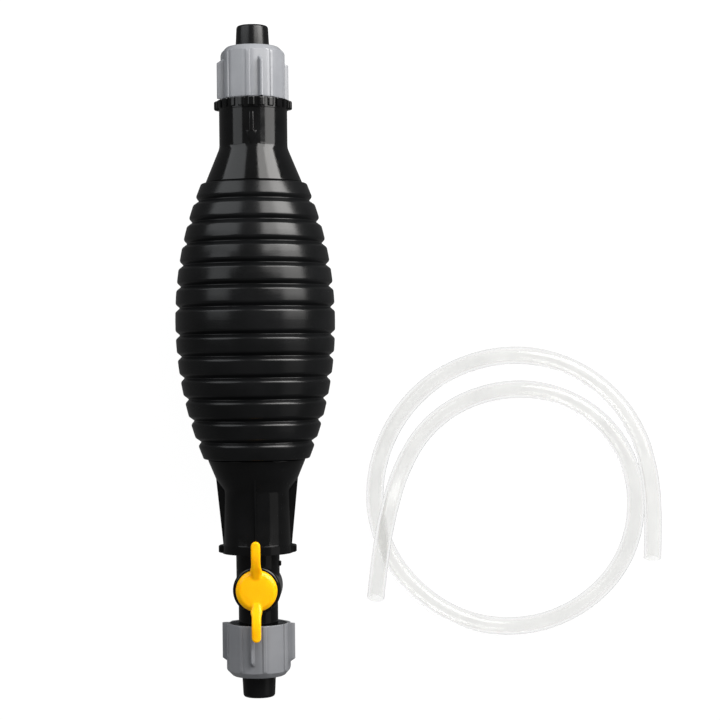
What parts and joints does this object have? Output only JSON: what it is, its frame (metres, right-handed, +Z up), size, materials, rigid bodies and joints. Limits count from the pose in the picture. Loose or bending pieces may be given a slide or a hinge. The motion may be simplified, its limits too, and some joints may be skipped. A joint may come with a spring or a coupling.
{
  "type": "siphon bulb pump",
  "caption": "Hand siphon pump: ribbed squeeze bulb between two necks with check valves, union nuts for hoses at both ends, a stopcock with a lever, and a loose clear hose.",
  "frame": {"origin": "on the surface that the pump lies on, under the middle of its length, below the pump's axis", "axes": "+Y along the pump's axis towards its inlet, +Z up, the stopcock's lever on the +Z side, +X to the side where the loose hose lies"},
  "size_m": [0.2785, 0.378, 0.09],
  "materials": {
    "bulb_rubber": "satin black flexible bulb",
    "black_plastic": "glossy black moulded plastic",
    "black_rubber": "satin black rubber",
    "grey_plastic": "satin grey moulded plastic",
    "white_plastic": "natural acetal",
    "yellow_plastic": "glossy yellow moulded plastic",
    "spring_steel": "drawn stainless wire",
    "clear_hose": "clear soft PVC"
  },
  "bodies": {
    "pump": {"bulb": "bulb_rubber", "inlet_neck": "black_plastic", "outlet_neck": "black_plastic", "inlet_valve_seat": "white_plastic", "inlet_valve_cage": "white_plastic", "inlet_spring": "spring_steel", "outlet_valve_seat": "white_plastic", "outlet_valve_cage": "white_plastic", "outlet_spring": "spring_steel", "inlet_gasket": "black_rubber", "outlet_gasket": "black_rubber", "inlet_sleeve": "black_rubber", "outlet_sleeve": "black_rubber", "valve_body": "black_plastic", "spigot_ring": "black_rubber"},
    "inlet_poppet": {"inlet_poppet": "white_plastic"},
    "outlet_poppet": {"outlet_poppet": "white_plastic"},
    "inlet_slip_ring": {"inlet_slip_ring": "white_plastic"},
    "outlet_slip_ring": {"outlet_slip_ring": "white_plastic"},
    "inlet_nut": {"inlet_nut": "grey_plastic"},
    "outlet_nut": {"outlet_nut": "grey_plastic"},
    "stopcock_lever": {"lever": "yellow_plastic", "valve_plug": "black_plastic", "plug_rings": "black_rubber", "plug_clip": "spring_steel"},
    "hose": {"hose": "clear_hose"}
  },
  "joints": [
    {"name": "lever_turn", "type": "hinge", "parent": "pump", "child": "stopcock_lever", "pos_m": [0, -0.1276, 0.045], "axis": [0, 0, 1], "range_deg": [0, 90]},
    {"name": "inlet_valve_open", "type": "slide", "parent": "pump", "child": "inlet_poppet", "axis": [0, -1, 0], "range_m": [0, 0.003], "stiffness_N_per_m": 40, "springref_m": -0.002, "deforming": ["inlet_spring"]},
    {"name": "inlet_nut_travel", "type": "slide", "parent": "pump", "child": "inlet_slip_ring", "axis": [0, 1, 0], "range_m": [0, 0.012]},
    {"name": "inlet_nut_turn", "type": "hinge", "parent": "inlet_slip_ring", "child": "inlet_nut", "pos_m": [0, 0.16, 0.045], "axis": [0, 1, 0], "range_deg": [0, 1440]},
    {"name": "outlet_valve_open", "type": "slide", "parent": "pump", "child": "outlet_poppet", "axis": [0, -1, 0], "range_m": [0, 0.003], "stiffness_N_per_m": 40, "springref_m": -0.002, "deforming": ["outlet_spring"]},
    {"name": "outlet_nut_travel", "type": "slide", "parent": "pump", "child": "outlet_slip_ring", "axis": [0, -1, 0], "range_m": [0, 0.012]},
    {"name": "outlet_nut_turn", "type": "hinge", "parent": "outlet_slip_ring", "child": "outlet_nut", "pos_m": [0, -0.16, 0.045], "axis": [0, -1, 0], "range_deg": [0, 1440]},
    {"name": "hose_lift", "type": "slide", "parent": "pump", "child": "hose", "axis": [0, 0, 1], "range_m": [0, 0.12]}
  ],
  "couplings": [
    {"joint": "inlet_nut_travel", "follows": "inlet_nut_turn", "m_per_rad": 0.00047746},
    {"joint": "outlet_nut_travel", "follows": "outlet_nut_turn", "m_per_rad": 0.00047746}
  ]
}
